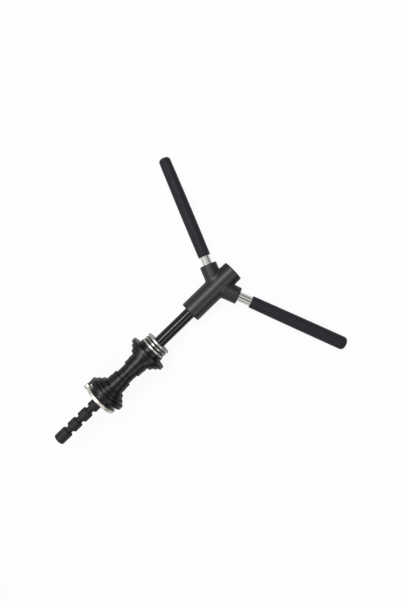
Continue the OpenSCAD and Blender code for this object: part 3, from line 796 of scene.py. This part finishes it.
class PRESS_OT_arms(bpy.types.Operator):
    """Finishes the rods and shapes the grips"""

    bl_idname = "press.arms"
    bl_label = "Arms"

    def execute(self, context):
        sizes, finishes = context.scene.press_sizes, context.scene.press_finishes
        for name, side in SIDES.items():
            place = arm_place(sizes, side)
            to_z = place @ Matrix.Rotation(-math.pi / 2, 4, "Y")
            chrome = turned_stock(
                f"{name}_chrome",
                finishes.chrome,
                roughness=0.05,
                feed=0.7,
                depth=0.001,
                place=to_z,
            )
            finish(FRAME["nodes"][f"{name}_rod"], chrome)
            grip = self.grip(sizes, name, place)
            finish(grip, foam_rubber(finishes, f"{name}_rubber", place))
            smooth(grip, angle=50)
            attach(grip, "handle")
            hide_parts(f"{name}_grip")
        return {"FINISHED"}

    @staticmethod
    def grip(sizes, name, place):
        """A sleeve with a rounded lip and a closed, domed end."""
        start, long, middle, tip = (
            mm(getattr(sizes, f"{name}_{part}")) for part in ("start", "length", "middle", "tip")
        )
        inner, lip = mm(sizes.grip_inner), mm(sizes.grip_lip)
        bore, past_lip, domed_share = mm(sizes.rod_radius) + HELD_FIT, 0.4, 0.62
        edge = tip / 2 * domed_share
        body = long - edge
        steps = 40

        def radius(share):
            """A curve through the three diameters, at the start, the middle and the tip."""
            by_inner = inner * (1 - share) * (1 - 2 * share)
            by_middle = 4 * middle * share * (1 - share)
            by_tip = tip * share * (2 * share - 1)
            return (by_inner + by_middle + by_tip) / 2

        bottom = start + long - mm(sizes.grip_end)
        outline = [(0, bottom), (bore, bottom)]
        outline += arc((bore + lip / 2, start + lip / 2), lip / 2, 180, 270, steps=4)
        outline += arc((radius(0) - lip, start + lip), lip, 270, 360, steps=6)
        first = (lip + past_lip) / body
        for i in range(steps + 1):
            share = first + (1 - first) * i / steps
            outline.append((radius(share), start + body * share))
        outline += arc((tip / 2 - edge, start + body), edge, 0, 90, steps=16)[1:]
        outline.append((0, start + long))
        return new_object(f"{name}_grip_sleeve", turned(outline, segments=96), place)


class PRESS_OT_discs(bpy.types.Operator):
    """Finishes the two press discs and their rubber rings"""

    bl_idname = "press.discs"
    bl_label = "Press discs"

    def execute(self, context):
        finishes = context.scene.press_finishes
        nodes = FRAME["nodes"]
        anodised = turned_stock(
            "black_anodised",
            finishes.disc,
            roughness=0.34,
            feed=0.45,
            depth=0.0015,
            metallic=0,
            gloss=0.4,
        )
        rubber = plain_stock(
            "ring_rubber", finishes.rubber, roughness=0.5, size=0.6, depth=0.02, metallic=0
        )
        for name in ("upper", "lower"):
            finish(nodes[f"{name}_press_disc"], anodised)
            finish(nodes[f"{name}_ring"], rubber)
        return {"FINISHED"}


class PRESS_OT_bearing(bpy.types.Operator):
    """Finishes the thrust bearing"""

    bl_idname = "press.bearing"
    bl_label = "Thrust bearing"

    def execute(self, context):
        finishes = context.scene.press_finishes
        nodes = FRAME["nodes"]
        ground = turned_stock(
            "ground_steel", finishes.bearing, roughness=0.42, feed=0.4, depth=0.003
        )
        finish(nodes["bearing_lower_washer"], ground)
        finish(nodes["bearing_top_washer"], ground)
        polished = plain_stock(
            "ball_steel", finishes.balls, roughness=0.05, size=2.0, depth=0.0005
        )
        finish(nodes["bearing_balls"], polished)
        sheet = plain_stock("pressed_steel", finishes.cage, roughness=0.3, size=0.8, depth=0.01)
        finish(nodes["bearing_cage"], sheet)
        return {"FINISHED"}


class PRESS_OT_lock_plate(bpy.types.Operator):
    """Finishes the lock plate and its pivot, and shapes the wave washer"""

    bl_idname = "press.lock_plate"
    bl_label = "Lock plate"

    def execute(self, context):
        sizes, finishes = context.scene.press_sizes, context.scene.press_finishes
        nodes = FRAME["nodes"]
        nickel = plain_stock(
            "nickel_plate", finishes.plate, roughness=0.42, size=1.2, depth=0.006
        )
        finish(nodes["lock_plate"], nickel)
        pin_steel = turned_stock(
            "pin_steel", finishes.spring, roughness=0.22, feed=0.4, depth=0.005
        )
        finish(nodes["stop_pin"], pin_steel)
        screw = plain_stock("screw_steel", finishes.spring, roughness=0.28, size=0.8, depth=0.005)
        finish(nodes["pivot_screw"], screw)
        washer = self.washer(sizes)
        finish(washer, screw)
        smooth(washer, angle=60)
        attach(washer, "lower_disc")
        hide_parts("wave_washer")
        return {"FINISHED"}

    @staticmethod
    def washer(sizes):
        """A thin ring that waves as far as its room lets it."""
        segments = 48
        sheet, room = mm(sizes.wave_sheet), mm(sizes.wave_room)
        made = bmesh.new()
        rows = []
        for i in range(segments):
            turn = 2 * math.pi * i / segments
            lift = (room - sheet) / 2 * math.cos(sizes.waves * turn)
            middle = -mm(sizes.wave_x) - room / 2 + lift
            row = []
            for radius, off in (
                (mm(sizes.wave_inner), -sheet / 2),
                (mm(sizes.wave_outer), -sheet / 2),
                (mm(sizes.wave_outer), sheet / 2),
                (mm(sizes.wave_inner), sheet / 2),
            ):
                y, z = PIVOT_Y + radius * math.cos(turn), radius * math.sin(turn)
                row.append(made.verts.new((middle + off, y, z)))
            rows.append(row)
        skin(made, rows + rows[:1])
        bmesh.ops.recalc_face_normals(made, faces=made.faces)
        return new_object("wave_spring", made, PRESS)


class PRESS_OT_stage(bpy.types.Operator):
    """Sets the floor, the lamps and the camera"""

    bl_idname = "press.stage"
    bl_label = "Stage"

    def execute(self, context):
        stage = context.scene.press_stage
        context.scene.view_settings.view_transform = "Standard"
        self.floor(stage)
        self.sky(context)
        self.lamps(context, stage)
        self.camera(context, stage)
        return {"FINISHED"}

    @staticmethod
    def lamps(context, stage):
        """Two long soft lamps beside the press, both turned along it. Each has its place in
        millimetres, its size in metres and its share of the lamps' power."""
        aimed_at = Vector((100, 0, 0))
        for name, place, size, share in (
            ("left_softbox", (120, 460, 980), (0.9, 0.24), 1.0),
            ("right_softbox", (120, -880, 980), (0.9, 0.4), 0.45),
        ):
            lamp = bpy.data.lights.new(name, "AREA")
            lamp.shape, lamp.size, lamp.size_y = "RECTANGLE", *size
            lamp.energy = stage.lamp * share
            holder = bpy.data.objects.new(name, lamp)
            context.scene.collection.objects.link(holder)
            at = PRESS @ Vector(place)
            aim = PRESS @ aimed_at - at
            along = (PRESS.to_3x3() @ Vector((1, 0, 0))).normalized()
            back = -aim.normalized()
            side = (along - along.dot(back) * back).normalized()
            turn = Matrix((side, back.cross(side), back)).transposed().to_4x4()
            holder.matrix_world = Matrix.Translation(at) @ turn

    @staticmethod
    def floor(stage):
        """A pale matt floor. To the eye it is as bright as paper in full light and keeps
        the object's soft shadow. In gloss it carries painted shade: black is mixed in for reflected
        rays, so it is a little darker than its light makes it."""
        half_width, seen_bright, mirrored_painted_shade = 4, 0.93, 0.2
        made = bmesh.new()
        bmesh.ops.create_grid(made, x_segments=1, y_segments=1, size=half_width)
        floor = new_object("floor", made, Matrix.Identity(4))
        material, tree, shader = new_material(
            "floor_paper", Base_Color=opaque(stage.floor), Roughness=0.9
        )
        # For glossy rays the emission below has no strength, so its share mixes black into the
        # floor: painted shade in the floor's reflections.
        rays = add(tree, "ShaderNodeLightPath").outputs
        shares = [
            add(tree, "ShaderNodeMath", {0: rays[name], 1: share}, operation="MULTIPLY").outputs[0]
            for name, share in (("Is Camera Ray", seen_bright), ("Is Glossy Ray", mirrored_painted_shade))
        ]
        share = add(tree, "ShaderNodeMath", {0: shares[0], 1: shares[1]}, operation="MAXIMUM")
        white = add(tree, "ShaderNodeEmission", {"Strength": rays["Is Camera Ray"]})
        mixed = add(
            tree,
            "ShaderNodeMixShader",
            {0: share.outputs[0], 1: shader.outputs[0], 2: white.outputs[0]},
        )
        tree.links.new(mixed.outputs[0], tree.nodes["Material Output"].inputs["Surface"])
        finish(floor, material)

    @staticmethod
    def sky(context):
        """A white room, brightest past the tip and in a band above the head, dimmer to the
        right and near the floor, with a dark patch beside the camera. The eye sees it as
        plain white. Each row runs from one share of light to another between two values of
        a direction, or of the distance from the patch, and the shares multiply."""
        world = bpy.data.worlds.new("studio")
        context.scene.world = world
        world.use_nodes = True
        tree = world.node_tree
        tree.nodes.clear()
        way = add(tree, "ShaderNodeTexCoord").outputs["Generated"]
        patch = Vector((-0.12, -0.22, 0.968))
        parts = add(tree, "ShaderNodeSeparateXYZ", {"Vector": way})
        from_patch = add(tree, "ShaderNodeVectorMath", {0: way, 1: patch}, operation="DISTANCE")
        lit = 1.0
        for value, start, end, at_start, at_end in (
            (parts.outputs["X"], -0.6, 0.3, 1.05, 0.33),
            (parts.outputs["X"], 0.12, 0.36, 1.0, 2.6),
            (parts.outputs["X"], 0.42, 0.65, 1.0, 0.5),
            (parts.outputs["Y"], -0.9, 0.0, 0.25, 1.0),
            (parts.outputs["Z"], 0.0, 0.8, 0.45, 1.0),
            (from_patch.outputs["Value"], 0.1, 0.32, 0.08, 1.0),
        ):
            share = add(
                tree,
                "ShaderNodeMapRange",
                {
                    "Value": value,
                    "From Min": start,
                    "From Max": end,
                    "To Min": at_start,
                    "To Max": at_end,
                },
                interpolation_type="SMOOTHSTEP",
            )
            lit = add(
                tree, "ShaderNodeMath", {0: lit, 1: share.outputs["Result"]}, operation="MULTIPLY"
            ).outputs[0]
        rays = add(tree, "ShaderNodeLightPath")
        seen = add(
            tree,
            "ShaderNodeMix",
            {"Factor": rays.outputs["Is Camera Ray"], "A": lit, "B": 1.0},
            data_type="FLOAT",
        )
        light = add(
            tree,
            "ShaderNodeBackground",
            {"Color": (1, 1, 1, 1), "Strength": seen.outputs["Result"]},
        )
        add(tree, "ShaderNodeOutputWorld", {"Surface": light.outputs["Background"]})

    @staticmethod
    def camera(context, stage):
        """A camera almost square above the spindle, which runs up to the right."""
        data = bpy.data.cameras.new("camera")
        data.lens = stage.lens
        holder = bpy.data.objects.new("camera", data)
        context.scene.collection.objects.link(holder)
        stand = PRESS @ Vector((mm(stage.stand_x), mm(stage.stand_y), mm(stage.distance)))
        aim = PRESS @ Vector((mm(stage.aim_x), mm(stage.aim_y), 0))
        back = (stand - aim).normalized()
        level = Vector((math.cos(stage.turn), -math.sin(stage.turn), 0))
        level = PRESS.to_3x3().normalized() @ level
        right = (level - level.dot(back) * back).normalized()
        turn = Matrix((right, back.cross(right), back)).transposed().to_4x4()
        holder.matrix_world = Matrix.Translation(stand) @ turn
        context.scene.camera = holder


class PRESS_PT_panel(bpy.types.Panel):
    """Builds the press piece by piece"""

    bl_idname = "PRESS_PT_panel"
    bl_label = "Headset press"
    bl_space_type = "VIEW_3D"
    bl_region_type = "UI"
    bl_category = "Press"

    def draw(self, context):
        for group in ("press_sizes", "press_finishes", "press_stage"):
            box = self.layout.box()
            settings = getattr(context.scene, group)
            for name in settings.bl_rna.properties.keys():
                if name not in ("rna_type", "name"):
                    box.prop(settings, name)
        for operator in OPERATORS:
            self.layout.operator(operator.bl_idname)


GROUPS = {"press_sizes": PressSizes, "press_finishes": PressFinishes, "press_stage": PressStage}
OPERATORS = (
    PRESS_OT_spindle,
    PRESS_OT_head,
    PRESS_OT_arms,
    PRESS_OT_discs,
    PRESS_OT_bearing,
    PRESS_OT_lock_plate,
    PRESS_OT_stage,
)


def register():
    for kind in (*GROUPS.values(), *OPERATORS, PRESS_PT_panel):
        bpy.utils.register_class(kind)
    for name, kind in GROUPS.items():
        setattr(bpy.types.Scene, name, PointerProperty(type=kind))


def unregister():
    for name in GROUPS:
        delattr(bpy.types.Scene, name)
    for kind in reversed((*GROUPS.values(), *OPERATORS, PRESS_PT_panel)):
        bpy.utils.unregister_class(kind)


def main():
    register()
    for operator in OPERATORS:
        area, name = operator.bl_idname.split(".")
        getattr(getattr(bpy.ops, area), name)()


if __name__ == "__main__":
    main()
